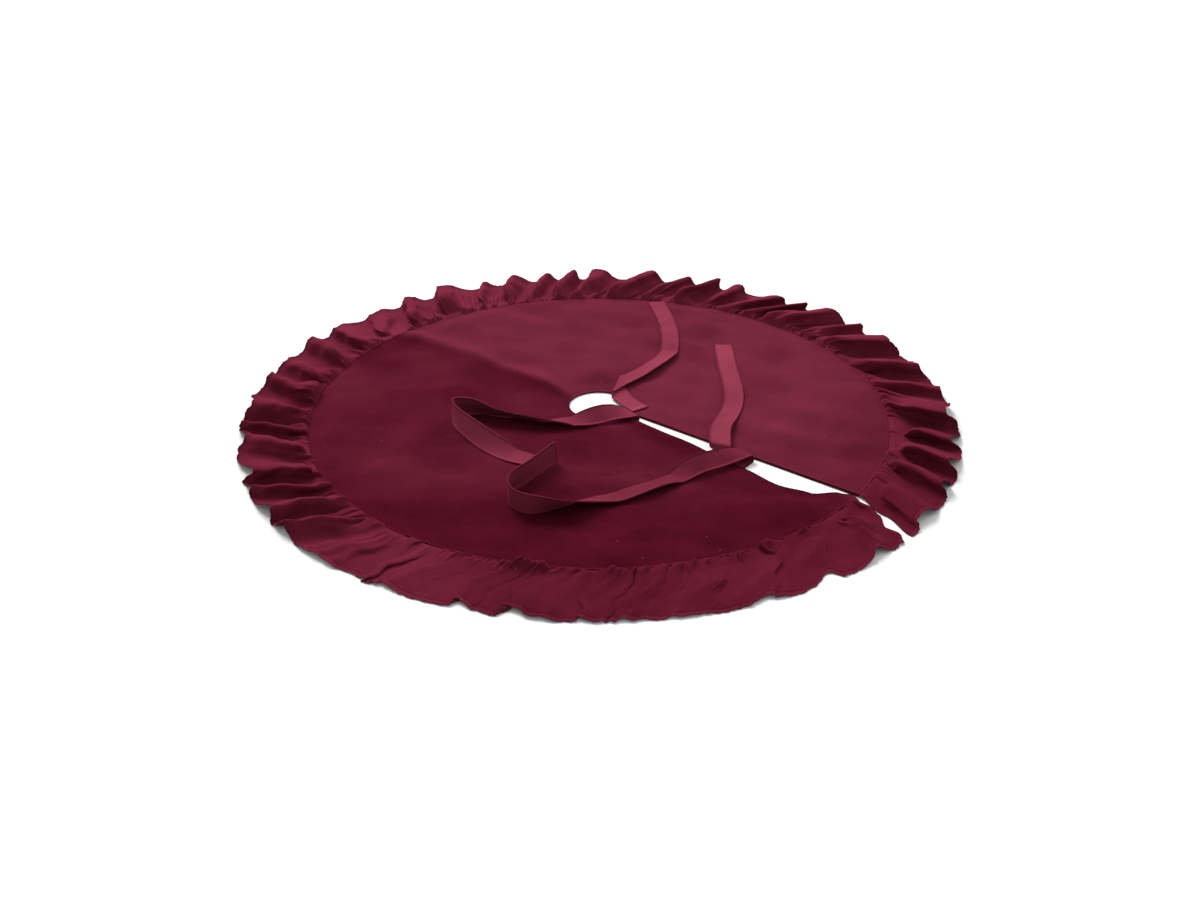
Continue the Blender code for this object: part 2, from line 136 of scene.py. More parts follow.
def lift(x, y):
    """How far the panel's cloth stands above flat at a place."""
    radius = np.hypot(x, y)
    inside = ease((radius - HOLE_RADIUS) / 0.06) * ease((SEAM_RADIUS - radius) / 0.05)
    across = x + 0.004 * np.sin(y / 0.07)
    crease = np.exp(-(across / np.where(across > 0, *CREASE_WIDTHS)) ** 2)
    crease = crease * ease((y - 0.048) / 0.05)
    shares, gaps = zip(*SLIT_GAPS)
    left_edge = np.interp((radius - HOLE_RADIUS) / SLIT_LENGTH, shares, gaps) - SLIT_EDGE_X
    from_edge = np.where(x > 0, x - SLIT_EDGE_X, -x - left_edge)
    calmed = CALM + (1 - CALM) * ease((from_edge - 0.004) / 0.06)
    inside = inside * np.where(y < 0, calmed, 1.0)
    height = CREASE_HEIGHT * crease * (0.30 + 0.70 * ease((SEAM_RADIUS - radius) / 0.05))
    height = height + inside * (BILLOW + BROAD_WAVE * BROAD(x, y) + MIDDLE_WAVE * MIDDLE(x, y))
    edge = np.exp(-((SEAM_RADIUS - radius) / 0.012) ** 2)
    return np.maximum(height + edge * (SEAM_ROLL + SEAM_PUCKER * PUCKER(x, y)), 0.0)


# ---------------- meshes

def new_object(name, data):
    obj = bpy.data.objects.new(name, data)
    bpy.context.scene.collection.objects.link(obj)
    return obj


EDGE_BULGE = 0.45            # how far a sheet's edge bulges, as a share of its thickness


def unit_rows(rows):
    return rows / np.maximum(np.linalg.norm(rows, axis=-1, keepdims=True), 1e-12)


def sheet_normals(grid):
    """Unit normals of a grid of points, turned so that most of them point up."""
    normal = unit_rows(np.cross(np.gradient(grid, axis=0), np.gradient(grid, axis=1)))
    return normal if normal[..., 2].mean() > 0 else -normal


def closed_sheet(name, grid, thickness, top, under=None, **facts):
    """A closed sheet of cloth about a grid of middle points, with round edges. facts are named
    values at the grid's points."""
    columns, rings = grid.shape[:2]
    offset = sheet_normals(grid) * thickness / 2
    upper, lower = (grid + offset).reshape(-1, 3), (grid - offset).reshape(-1, 3)
    number = np.arange(columns * rings).reshape(columns, rings)
    count = number.size
    quads = np.stack([number[:-1, :-1], number[1:, :-1], number[1:, 1:], number[:-1, 1:]], axis=-1)
    quads = quads.reshape(-1, 4)
    ring = np.concatenate([number[:-1, -1], number[-1, :0:-1], number[:0:-1, 0], number[0, :-1]])
    outward = np.zeros_like(grid)
    outward[:, 0] += unit_rows(grid[:, 0] - grid[:, 1])
    outward[:, -1] += unit_rows(grid[:, -1] - grid[:, -2])
    outward[0] += unit_rows(grid[0] - grid[1])
    outward[-1] += unit_rows(grid[-1] - grid[-2])
    bulge = unit_rows(outward.reshape(-1, 3)[ring]) * thickness * EDGE_BULGE
    rim = 2 * count + np.arange(len(ring))
    follow = np.roll(np.arange(len(ring)), -1)
    points = np.concatenate([upper, lower, grid.reshape(-1, 3)[ring] + bulge])
    faces = np.concatenate([
        quads, (quads + count)[:, ::-1],
        np.stack([ring, rim, rim[follow], ring[follow]], axis=-1),
        np.stack([rim, ring + count, ring[follow] + count, rim[follow]], axis=-1)])
    mesh = bpy.data.meshes.new(name)
    mesh.from_pydata(points.tolist(), [], faces.tolist())
    mesh.validate()
    mesh.materials.append(top)
    if under is not None:
        mesh.materials.append(under)
        slots = np.zeros(len(faces), dtype=np.int32)
        slots[len(quads):2 * len(quads)] = 1
        mesh.polygons.foreach_set("material_index", slots)
    mesh.shade_smooth()
    source = np.concatenate([np.arange(count), np.arange(count), ring])
    for fact, values in facts.items():
        layer = mesh.attributes.new(fact, "FLOAT", "POINT")
        layer.data.foreach_set("value", values.reshape(-1)[source].astype(np.float32))
    obj = new_object(name, mesh)
    face_outwards(obj)
    return obj


def face_outwards(obj):
    """Turns a closed mesh whose volume counts as negative."""
    mesh = obj.data
    mesh.calc_loop_triangles()
    points = np.empty(len(mesh.vertices) * 3)
    mesh.vertices.foreach_get("co", points)
    corners = np.empty(len(mesh.loop_triangles) * 3, dtype=np.int32)
    mesh.loop_triangles.foreach_get("vertices", corners)
    a, b, c = points.reshape(-1, 3)[corners.reshape(-1, 3)].transpose(1, 0, 2)
    if np.einsum("ij,ij->i", a, np.cross(b, c)).sum() < 0:
        mesh.flip_normals()


# ---------------- materials

def add_node(tree, kind, inputs=None, **settings):
    """A new node. Each of its inputs is given a value or linked to a socket."""
    node = tree.nodes.new(kind)
    for setting, value in settings.items():
        setattr(node, setting, value)
    for key, value in (inputs or {}).items():
        if isinstance(value, bpy.types.NodeSocket):
            tree.links.new(value, node.inputs[key])
        else:
            node.inputs[key].default_value = value
    return node


def new_group(name, inputs, outputs):
    """A shader node group with those number inputs and outputs, and its two end nodes."""
    group = bpy.data.node_groups.new(name, "ShaderNodeTree")
    for label, value in inputs:
        socket = group.interface.new_socket(label, in_out="INPUT", socket_type="NodeSocketFloat")
        socket.default_value = value
    for label in outputs:
        group.interface.new_socket(label, in_out="OUTPUT", socket_type="NodeSocketFloat")
    return group, group.nodes.new("NodeGroupInput"), group.nodes.new("NodeGroupOutput")


def maths(tree, operation, *values, clamp=False):
    """Output of a Math node. Its values are numbers or sockets."""
    return add_node(tree, "ShaderNodeMath", dict(enumerate(values)), operation=operation,
                    use_clamp=clamp).outputs[0]


def weigh(tree, first, share, second):
    """Two outputs mixed, with that share of the first."""
    return maths(tree, "ADD", maths(tree, "MULTIPLY", first, share),
                 maths(tree, "MULTIPLY", second, round(1 - share, 6)))


def noise(tree, vector, scale, detail, rough=0.5):
    return add_node(tree, "ShaderNodeTexNoise",
                    {"Scale": scale, "Detail": detail, "Roughness": rough,
                     "Vector": vector}).outputs["Fac"]


STREAKS = (0.35, 1.0, 1.0)   # how far the brushed pattern is drawn out, along and across
LINT_CELLS = 13.0            # places for a speck, per metre
LINT_SIZE = 0.0085           # of a speck, as a share of its place
LINT_SHARE = 0.28            # of the places that hold one


def pile_group():
    """Brushed pile: Brush is the broad light and dark of the lay, Grain its fine unevenness,
    Lint a few caught specks, and Height what the bump follows."""
    group, given, out = new_group("pile", [("Direction", 0.0)],
                                  ["Brush", "Grain", "Lint", "Height"])
    place = add_node(group, "ShaderNodeTexCoord").outputs["Object"]
    turned = add_node(group, "ShaderNodeVectorRotate",
                      {"Vector": place, "Angle": given.outputs["Direction"]},
                      rotation_type="Z_AXIS")
    long = add_node(group, "ShaderNodeMapping",
                    {"Scale": STREAKS, "Vector": turned.outputs["Vector"]}).outputs["Vector"]
    broad = noise(group, place, 9.0, 3.0, 0.55)
    brushed = noise(group, long, 26.0, 4.0, 0.6)
    brush = weigh(group, broad, 0.55, brushed)
    fine = noise(group, long, 260.0, 3.0, 0.65)
    tips = noise(group, place, 900.0, 1.0)
    cells = add_node(group, "ShaderNodeTexVoronoi", {"Scale": LINT_CELLS, "Vector": place},
                     voronoi_dimensions="2D")
    near = maths(group, "LESS_THAN", cells.outputs["Distance"], LINT_SIZE)
    picked = add_node(group, "ShaderNodeSeparateColor", {"Color": cells.outputs["Color"]})
    lint = maths(group, "MULTIPLY", near, maths(group, "GREATER_THAN", picked.outputs[0],
                                                 1 - LINT_SHARE))
    height = weigh(group, fine, 0.6, tips)
    for label, value in (("Brush", brush), ("Grain", fine), ("Lint", lint), ("Height", height)):
        group.links.new(value, out.inputs[label])
    return group


def line_group():
    """A stitched or turned line: 1 where the distance from an edge is At, fading over Width."""
    group, given, out = new_group("edge_line", [("Distance", 1.0), ("At", 0.01), ("Width", 0.001)],
                                  ["Line"])
    off = maths(group, "ABSOLUTE", maths(group, "SUBTRACT", given.outputs["Distance"],
                                         given.outputs["At"]))
    line = maths(group, "SUBTRACT", 1.0, maths(group, "DIVIDE", off, given.outputs["Width"]),
                 clamp=True)
    group.links.new(line, out.inputs["Line"])
    return group


def ramp(tree, factor, stops):
    """Colour along a ramp of (place, colour) stops."""
    node = tree.nodes.new("ShaderNodeValToRGB")
    elements = node.color_ramp.elements
    while len(elements) < len(stops):
        elements.new(0.5)
    for element, (place, colour) in zip(elements, stops):
        element.position = place
        element.color = (*colour, 1.0)
    tree.links.new(factor, node.inputs["Fac"])
    return node.outputs["Color"]


def mix_colour(tree, factor, a, b):
    """From colour a to colour b. Each is a socket or three numbers."""
    a, b = ((*c, 1.0) if isinstance(c, tuple) else c for c in (a, b))
    return add_node(tree, "ShaderNodeMix", {"Factor": factor, 6: a, 7: b},
                    data_type="RGBA").outputs[2]


GROUPS = {"pile": pile_group(), "edge_line": line_group()}
DARK_TO_LIGHT = (0.30, 0.68)     # of the pile's tone, where its dark and its light colour stand
HEM_LINE_WIDTH = 0.0011
LINT_COLOUR = (0.42, 0.22, 0.25)
SHEEN, SHEEN_TINT = 0.06, (1.0, 0.18, 0.34, 1.0)


def plain_material(name, roughness, specular):
    """A new material, its node tree and its shader."""
    material = bpy.data.materials.new(name)
    material.use_nodes = True
    shader = material.node_tree.nodes["Principled BSDF"]
    shader.inputs["Roughness"].default_value = roughness
    shader.inputs["Specular IOR Level"].default_value = specular
    return material, material.node_tree, shader


def add_bump(tree, shader, height, strength, distance):
    bump = add_node(tree, "ShaderNodeBump",
                    {"Strength": strength, "Distance": distance, "Height": height})
    tree.links.new(bump.outputs["Normal"], shader.inputs["Normal"])


def velvet(name, towards, away, direction=0.0, line_at=None):
    """Velvet: a brushed pile with a soft sheen. towards and away are each a dark and a light tone:
    towards is the pile lit, with painted sheen, and away the pile in painted shade; the point
    attribute away gives each place's share of painted shade. line_at is the distance from an edge
    at which a turned hem shows."""
    material, tree, shader = plain_material(name, roughness=0.95, specular=0.0)
    pile = add_node(tree, "ShaderNodeGroup", node_tree=GROUPS["pile"])
    pile.inputs["Direction"].default_value = direction
    tone = weigh(tree, pile.outputs["Brush"], 0.8, pile.outputs["Grain"])
    # painted shade: the share of the shaded tones against the lit ones, from the point attribute
    # away
    painted_shade_share = add_node(tree, "ShaderNodeAttribute", attribute_name="away")
    colour = mix_colour(tree, painted_shade_share.outputs["Fac"],
                        *(ramp(tree, tone, list(zip(DARK_TO_LIGHT, pair)))
                          for pair in (towards, away)))
    height = pile.outputs["Height"]
    if line_at is not None:
        edge = add_node(tree, "ShaderNodeAttribute", attribute_name="edge")
        line = add_node(tree, "ShaderNodeGroup", {
            "At": line_at, "Width": HEM_LINE_WIDTH, "Distance": edge.outputs["Fac"],
        }, node_tree=GROUPS["edge_line"]).outputs["Line"]
        shade = maths(tree, "MULTIPLY", line, 0.45)
        colour = mix_colour(tree, shade, colour, tuple(0.5 * c for c in away[0]))
        height = maths(tree, "SUBTRACT", height, maths(tree, "MULTIPLY", line, 1.5))
    colour = mix_colour(tree, maths(tree, "MULTIPLY", pile.outputs["Lint"], 0.55), colour,
                        LINT_COLOUR)
    add_bump(tree, shader, height, 0.35, 0.0006)
    tree.links.new(colour, shader.inputs["Base Color"])
    shader.inputs["Sheen Weight"].default_value = SHEEN
    shader.inputs["Sheen Roughness"].default_value = 0.45
    shader.inputs["Sheen Tint"].default_value = SHEEN_TINT
    return material


THREADS = 330.0              # scale of the weave


def woven(name, dark, light):
    """Plain-woven cotton, for the lining, the facings, the thread and the velvet's wrong side."""
    material, tree, shader = plain_material(name, roughness=0.88, specular=0.12)
    place = add_node(tree, "ShaderNodeTexCoord").outputs["Object"]
    threads = {"Scale": THREADS, "Distortion": 1.5, "Detail": 1.0, "Vector": place}
    waves = [add_node(tree, "ShaderNodeTexWave", threads, bands_direction=axis) for axis in "XY"]
    weave = maths(tree, "MULTIPLY", *(wave.outputs["Fac"] for wave in waves))
    slub = noise(tree, place, 60.0, 3.0)
    tone = weigh(tree, weave, 0.35, slub)
    tree.links.new(ramp(tree, tone, [(0.25, dark), (0.70, light)]), shader.inputs["Base Color"])
    add_bump(tree, shader, weave, 0.25, 0.0003)
    shader.inputs["Sheen Weight"].default_value = 0.04
    return material


# towards: the tones lit, with painted sheen; away: the same tones in painted shade
PANEL_VELVET = velvet("panel_velvet", towards=((0.090, 0.0095, 0.0210), (0.150, 0.0180, 0.0370)),
                      away=((0.032, 0.0012, 0.0050), (0.084, 0.0050, 0.0170)), direction=0.9)
RUFFLE_VELVET = velvet("ruffle_velvet", towards=((0.120, 0.0120, 0.0280), (0.205, 0.0250, 0.0500)),
                       away=((0.040, 0.0018, 0.0065), (0.100, 0.0070, 0.0190)), direction=0.3,
                       line_at=HEM_WIDTH)
TIE_VELVET = velvet("tie_velvet", towards=((0.165, 0.0210, 0.0420), (0.255, 0.0400, 0.0700)),
                    away=((0.055, 0.0025, 0.0080), (0.105, 0.0080, 0.0200)))
WRONG_SIDE = woven("wrong_side", (0.085, 0.008, 0.009), (0.165, 0.020, 0.018))
RUFFLE_WRONG_SIDE = woven("ruffle_wrong_side", (0.055, 0.004, 0.008), (0.110, 0.010, 0.018))
LINING = woven("lining_cotton", (0.065, 0.005, 0.009), (0.130, 0.014, 0.019))
THREAD = woven("sewing_thread", (0.060, 0.004, 0.010), (0.120, 0.012, 0.024))


# ---------------- panel, lining and facings

PANEL_GRID = (480, 64)       # points round the panel and out to the seam
LINING_GRID = (240, 32)
CROWDING = 0.35
TURNED_EDGE = 0.0105         # how wide the face cloth is turned under along the slit
EDGE_ROLL = (0.009, 0.0013)  # width and drop of the face cloth's edge where it rolls into the seam
FACING_PEEK = 0.0016         # how far the slit's facing shows past the face cloth
LINING_RIM = SEAM_RADIUS - SEAM_ALLOWANCE - 0.002
# Painted shade on the panel's pile, from 0 to 1, in its parts
LEFT_PAINTED_SHADE, CREASE_PAINTED_SHADE, FRONT_PAINTED_SHADE, RIGHT_FRONT_PAINTED_SHADE = 0.70, 0.25, 0.60, 0.45


def bend_at_crease(obj):
    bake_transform(obj)


def edge_angle(side, radius, inset=0.0):
    """Angle of a half's slit edge at a radius, or of a line inset from it."""
    return side * (math.pi - math.asin((slit_edge(side, radius) + inset) / radius))


def round_grid(inner, outer, columns, rings, inset=0.0):
    """Points in plan from the right slit edge all the way round to the left one, with the rings
    closer together at the hole and at the rim."""
    out = np.linspace(0, 1, rings)
    out = (1 - CROWDING) * out + CROWDING * (0.5 - 0.5 * np.cos(math.pi * out))
    share = np.linspace(0, 1, columns)
    grid = np.empty((columns, rings, 2))
    for j, radius in enumerate(inner + (outer - inner) * out):
        start, end = edge_angle(1, radius, inset), edge_angle(-1, radius, inset)
        angle = start + (end - start) * share
        grid[:, j] = np.stack([radius * np.sin(angle), radius * np.cos(angle)], axis=-1)
    return grid


def slit_distance(x, y):
    """Distance from the nearer edge of the slit, for places in front of the hole."""
    radius = np.hypot(x, y)
    left = np.vectorize(lambda r: -slit_edge(-1, max(r, HOLE_RADIUS)))(radius)
    away = np.where(x > 0.5 * (SLIT_EDGE_X + left), x - SLIT_EDGE_X, left - x)
    return np.where(y < 0, np.abs(away), 1.0)


def painted_pile_shade(x, y):
    """Painted shade on the panel's pile: most on the -X half, beside its crease and at its front,
    and towards the front on the +X half too.
    """
    forward = -(0.78 * x + 0.62 * y)
    # a band of painted shade along the crease's -X side
    painted_crease_shade = np.exp(-((x + 0.02) / 0.03) ** 2)
    left = ease((0.004 - x) / 0.022) * (LEFT_PAINTED_SHADE + 0.10 * BROAD(y, x)
                                        + CREASE_PAINTED_SHADE * painted_crease_shade)
    front = FRONT_PAINTED_SHADE * ease((forward - 0.24) / 0.24)
    right_front = RIGHT_FRONT_PAINTED_SHADE * ease((-y - 0.27) / 0.20)
    return np.clip(np.where(x > 0, right_front, 0) + left + front, 0, 1.15)


def make_face_cloth():
    plan = round_grid(HOLE_RADIUS, SEAM_RADIUS - 0.0004, *PANEL_GRID)
    x, y = plan[..., 0], plan[..., 1]
    turned = 1 - ease((slit_distance(x, y) - TURNED_EDGE) / 0.002)
    width, drop = EDGE_ROLL
    rolled = (1 - (SEAM_RADIUS - np.hypot(x, y)) / width).clip(0, 1) ** 2
    height = (FACE_TOP + FACE_BOTTOM) / 2 + lift(x, y) + 0.0005 * turned - drop * rolled
    grid = np.stack([x, y, height], axis=-1)
    cloth = closed_sheet("face_cloth", grid, FACE_THICKNESS, PANEL_VELVET, WRONG_SIDE,
                         away=painted_pile_shade(x, y))
    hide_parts("right_face_panel", "left_face_panel")
    bend_at_crease(cloth)


def lining_layer(name, plan, cloth):
    """A sheet in the lining's layer, over those places."""
    x, y = plan[..., 0], plan[..., 1]
    grid = np.stack([x, y, LINING_TOP / 2 + 0.9 * lift(x, y)], axis=-1)
    sheet = closed_sheet(name, grid, LINING_TOP * 0.9, cloth)
    return sheet


def make_lining():
    inner = FACING_RIM + LAYER_GAP
    plan = round_grid(inner, LINING_RIM, *LINING_GRID, FACING_WIDTH + LAYER_GAP)
    lining = lining_layer("lining_cloth", plan, LINING)
    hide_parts("right_lining_panel", "left_lining_panel")
    bend_at_crease(lining)


def make_facings():
    """The ring under the hole's edge, and a strip under each of the slit's edges."""
    plan = round_grid(HOLE_RADIUS + 0.0004, FACING_RIM, 160, 7)
    ring = lining_layer("hole_facing", plan, LINING)
    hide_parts("right_hole_facing", "left_hole_facing")
    bend_at_crease(ring)
    for side, name in ((1, "right"), (-1, "left")):
        radii = np.linspace(FACING_RIM + LAYER_GAP, LINING_RIM, 90)
        offsets = np.linspace(-FACING_PEEK, FACING_WIDTH, 6)
        plan = np.array([[(side * (slit_edge(side, r) + o),
                           -math.sqrt(r * r - (slit_edge(side, r) + o) ** 2)) for o in offsets]
                         for r in radii])
        strip = lining_layer(f"{name}_slit_facing_strip", plan, WRONG_SIDE)
        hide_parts(f"{name}_slit_facing")
        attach(strip, f"{name}_half")


# ---------------- sewing thread

def stitch_tree():
    """Geometry Nodes: a stitch at every point, along its heading and level with its rising."""
    tree = bpy.data.node_groups.new("stitches", "GeometryNodeTree")
    for label, kind in (("Geometry", "Geometry"), ("Length", "Float"), ("Thickness", "Float"),
                        ("Thread", "Material")):
        tree.interface.new_socket(label, in_out="INPUT", socket_type=f"NodeSocket{kind}")
    tree.interface.new_socket("Geometry", in_out="OUTPUT", socket_type="NodeSocketGeometry")
    given = add_node(tree, "NodeGroupInput").outputs
    bead = add_node(tree, "GeometryNodeMeshIcoSphere", {"Radius": 0.5, "Subdivisions": 1})
    size = add_node(tree, "ShaderNodeCombineXYZ", {
        "X": given["Length"], "Y": given["Thickness"], "Z": given["Thickness"]})
    stitch = add_node(tree, "GeometryNodeTransform", {
        "Geometry": bead.outputs["Mesh"], "Scale": size.outputs["Vector"]})
    inputs = {}
    for fact, axis, pivot in (("heading", "X", "AUTO"), ("rising", "Z", "X")):
        inputs["Vector"] = add_node(tree, "GeometryNodeInputNamedAttribute", {"Name": fact},
                                    data_type="FLOAT_VECTOR").outputs["Attribute"]
        inputs["Rotation"] = add_node(tree, "FunctionNodeAlignRotationToVector", inputs,
                                      axis=axis, pivot_axis=pivot).outputs["Rotation"]
    row = add_node(tree, "GeometryNodeInstanceOnPoints", {
        "Points": given["Geometry"], "Instance": stitch.outputs["Geometry"],
        "Rotation": inputs["Rotation"]})
    real = add_node(tree, "GeometryNodeRealizeInstances", {"Geometry": row.outputs["Instances"]})
    coat = add_node(tree, "GeometryNodeSetMaterial", {
        "Geometry": real.outputs["Geometry"], "Material": given["Thread"]})
    add_node(tree, "NodeGroupOutput", {"Geometry": coat.outputs["Geometry"]})
    return tree


STITCHES = stitch_tree()
STITCH_STEP = 0.0036
STITCH_LENGTH, STITCH_THICKNESS = 0.0027, 0.0006
EDGE_STITCH_INSET = 0.0080   # of the rows round the hole and along the slit


def stitch_row(name, places, rising):
    """A row of stitches lying on the cloth at those places, as one mesh."""
    heading = unit_rows(np.gradient(places, axis=0))
    mesh = bpy.data.meshes.new(name + "_path")
    mesh.from_pydata(places.tolist(), [], [])
    for fact, values in (("heading", heading), ("rising", rising)):
        layer = mesh.attributes.new(fact, "FLOAT_VECTOR", "POINT")
        layer.data.foreach_set("vector", values.astype(np.float32).ravel())
    path = new_object(name + "_path", mesh)
    modifier = path.modifiers.new("stitches", "NODES")
    modifier.node_group = STITCHES
    values = {"Length": STITCH_LENGTH, "Thickness": STITCH_THICKNESS, "Thread": THREAD}
    for item in STITCHES.interface.items_tree:
        if item.in_out == "INPUT" and item.name in values:
            modifier[item.identifier] = values[item.name]
    graph = bpy.context.evaluated_depsgraph_get()
    row = new_object(name, bpy.data.meshes.new_from_object(path.evaluated_get(graph)))
    row.data.shade_smooth()
    bpy.data.objects.remove(path)
    face_outwards(row)
    return row


def length_along(points):
    """Distance from the first point to each, along a line of points."""
    return np.concatenate([[0], np.cumsum(np.linalg.norm(np.diff(points, axis=0), axis=1))])


def along_line(points):
    """Points a stitch apart along a line of points."""
    length = length_along(points)
    marks = np.arange(STITCH_STEP / 2, length[-1], STITCH_STEP)
    return np.stack([np.interp(marks, length, points[:, k]) for k in range(3)], axis=-1)


def hem_stitches(name, grid, shares):
    """The row that holds the ruffle's turned hem."""
    share = 1 - HEM_WIDTH / RUFFLE_DEPTH
    k = int(np.searchsorted(shares, share)) - 1
    t = (share - shares[k]) / (shares[k + 1] - shares[k])
    normals = sheet_normals(grid)
    middle = grid[:, k] * (1 - t) + grid[:, k + 1] * t
    rising = unit_rows(normals[:, k] * (1 - t) + normals[:, k + 1] * t)
    places = along_line(middle)
    marks = STITCH_STEP * (np.arange(len(places)) + 0.5)
    nearest = np.clip(np.searchsorted(length_along(middle), marks), 0, len(middle) - 1)
    rising = rising[nearest]
    return stitch_row(name, places + rising * RUFFLE_THICKNESS / 2, rising)


def panel_stitches(name, x, y):
    """A row on top of the face cloth's turned edge."""
    height = FACE_TOP + lift(x, y) + 0.0005
    places = along_line(np.stack([x, y, height], axis=-1))
    row = stitch_row(name, places, np.tile([0, 0, 1.0], (len(places), 1)))
    return row


def make_edge_stitches():
    inset = EDGE_STITCH_INSET
    for side, name in ((1, "right"), (-1, "left")):
        radii = np.linspace(HOLE_RADIUS + inset, SEAM_RADIUS - 0.010, 120)
        x = np.array([side * (slit_edge(side, r) + inset) for r in radii])
        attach(panel_stitches(f"{name}_slit_thread", x, -np.sqrt(radii ** 2 - x ** 2)),
                f"{name}_half")
    radius = HOLE_RADIUS + inset
    angle = np.linspace(edge_angle(1, radius, inset), edge_angle(-1, radius, inset), 120)
    bend_at_crease(panel_stitches("hole_thread", radius * np.sin(angle), radius * np.cos(angle)))


# ---------------- ruffle

RUFFLE_COLUMNS = 2800
FOLD_LENGTHS = (0.075, 0.092, 0.108, 0.128, 0.150)   # strip taken up by a big fold
FOLD_CHANCES = (0.24, 0.30, 0.24, 0.14, 0.08)
CREST = 0.50                 # how much tighter the ruffle bends over a crest than in a valley
CRINKLE = 0.13               # how far its direction wavers at the hem
SWAY = 0.010                 # how far the hem wanders sideways
FLAT_FRONT = 0.21            # height left in the folds that were smoothed down at the front
TALLEST_FOLD = 0.039         # of the ruffle, above the floor
RUFFLE_SIDE_PAINTED_SHADE, RUFFLE_FRONT_PAINTED_SHADE = 0.48, 0.32    # painted shade on the ruffle's pile, at its sides and at its front
FLOOR_GAP = 0.0008
SEAM_RISE = 0.0020           # how far the gathers stand up beside the seam
SEAM_PUFF = 0.0020           # how far the whole strip puffs up there
ROUNDING = 0.0014            # of the valleys, where they come near the floor
LEAST_RUN = 0.45             # of a ring's width, that it always reaches outwards
# The two runs of small gathers: their length; how far and how slowly their spacing drifts, with a
# seed; their mean size, how far and how slowly it varies, with a seed; and the size's limits.
FINE_GATHERS = (0.0150, (0.30, 0.055, 41), (0.95, 0.28, 0.06, 45), (0.45, 1.5))
SMALL_GATHERS = (0.0340, (0.35, 0.12, 43), (0.90, 0.35, 0.09, 47), (0.3, 1.6))

SWING = np.linspace(0, 1.75, 200)
TURNS = np.linspace(0, math.pi, 181)
SHORTENING = np.array([np.mean(np.cos(a * np.sin(TURNS))) for a in SWING])


def shortened(swing):
    """Straight length of a wavy strip, per metre of it, whose direction swings by that much."""
    return np.interp(swing, SWING, SHORTENING)


def swing_for(share):
    """How far a strip's direction swings when it is pushed up to that share of its length."""
    return np.interp(-share, -SHORTENING, SWING)


def frontness(angle):
    """1 where the ruffle was smoothed flat at the front, 0 at the sides and back."""
    return ease((np.cos(angle - FRONT_ANGLE) - 0.62) / 0.25)


def interval_field(seed, period, count=7):
    """A smooth random line over the strip's length, about -2 to 2."""
    draw = np.random.default_rng(seed)
    waves = [(draw.uniform(0.6, 1.7) / period, draw.uniform(0, 2 * math.pi)) for _ in range(count)]
    return lambda s: sum(np.sin(2 * math.pi * f * s + p) for f, p in waves) / math.sqrt(count / 2)


def gathers(s, length, drift, size, limits):
    """One run of small gathers along the strip: a wave of uneven spacing and size."""
    far, period, seed = drift
    wave = np.sin(2 * math.pi * (s / length + far * interval_field(seed, period)(s)))
    mean, variation, period, seed = size
    return np.clip(mean + variation * interval_field(seed, period)(s), *limits) * wave


def laid_out(directions, step):
    """How far along and how far up a strip gets that goes in those directions."""
    middle = directions[:-1] + np.diff(directions) / 2
    return [np.concatenate([[0], np.cumsum(part(middle))]) * step for part in (np.cos, np.sin)]


class Strip:
    """The ruffle's strip before it is gathered: s is the distance along it, bounds are the ends of
    its big folds, and fold tells which of them a point lies in."""

    def __init__(self, columns):
        draw = np.random.default_rng(21)
        lengths = []
        while sum(lengths) < RUFFLE_LENGTH:
            lengths.append(draw.choice(FOLD_LENGTHS, p=FOLD_CHANCES) * draw.uniform(0.9, 1.1))
        self.lengths = np.array(lengths) * RUFFLE_LENGTH / sum(lengths)
        self.bounds = np.concatenate([[0], np.cumsum(self.lengths)])
        middle = (self.bounds[:-1] + self.bounds[1:]) / 2
        angle = math.pi * (1 - 2 * middle / RUFFLE_LENGTH)
        self.front = frontness(angle)
        behind = ease((np.cos(angle - FRONT_ANGLE - math.pi) - 0.35) / 0.5)
        self.swing = draw.uniform(0.85, 1.10, len(lengths)) + 0.22 * behind + 0.05 * self.front
        self.early = draw.uniform(0.35, 0.65, len(lengths)) + 0.15 * self.front

        s = self.s = np.linspace(0, RUFFLE_LENGTH, columns)
        self.fold = np.clip(np.searchsorted(self.bounds, s, side="right") - 1, 0, len(lengths) - 1)
        phase = (s - self.bounds[self.fold]) / self.lengths[self.fold]
        skew = interval_field(31, 0.30)(s) * 0.06
        self.phase = phase + skew * np.sin(2 * math.pi * phase) / math.pi
        self.fine = gathers(s, *FINE_GATHERS)
        self.small = gathers(s, *SMALL_GATHERS)
        self.sway = interval_field(51, 0.35)(s)
        self.crinkle = interval_field(53, 0.05)(s)

    def directions(self, out, squeeze):
        """The strip's slope at each point, on the ring that share of the way out to the hem: with
        all its gathers, and with its big folds alone, each pushed up to squeeze of its length."""
        fill = ease(out / self.early) * (1 - 0.45 * self.front * ease((out - 0.45) / 0.5))
        big = swing_for(squeeze) * fill
        rest = np.clip(squeeze / shortened(big), 0.5, 0.999)
        little = swing_for(rest) * ease(out / 0.03)
        near = math.exp(-(out / 0.20) ** 2)
        far = ease(out / 0.10) * math.exp(-(out / 0.5) ** 2)
        total = math.hypot(near, far) + 1e-9
        turn = 2 * math.pi * self.phase
        broad = big[self.fold] * np.sin(turn - CREST * np.sin(turn))
        every = broad + little[self.fold] * (near * self.fine + far * self.small) / total
        waver = CRINKLE * out * self.crinkle * (1 - 0.7 * self.front[self.fold])
        return every + waver, broad

    def above_folds(self, up):
        """Heights counted from the line between the ends of each big fold."""
        return up - np.interp(self.s, self.bounds, np.interp(self.bounds, self.s, up))


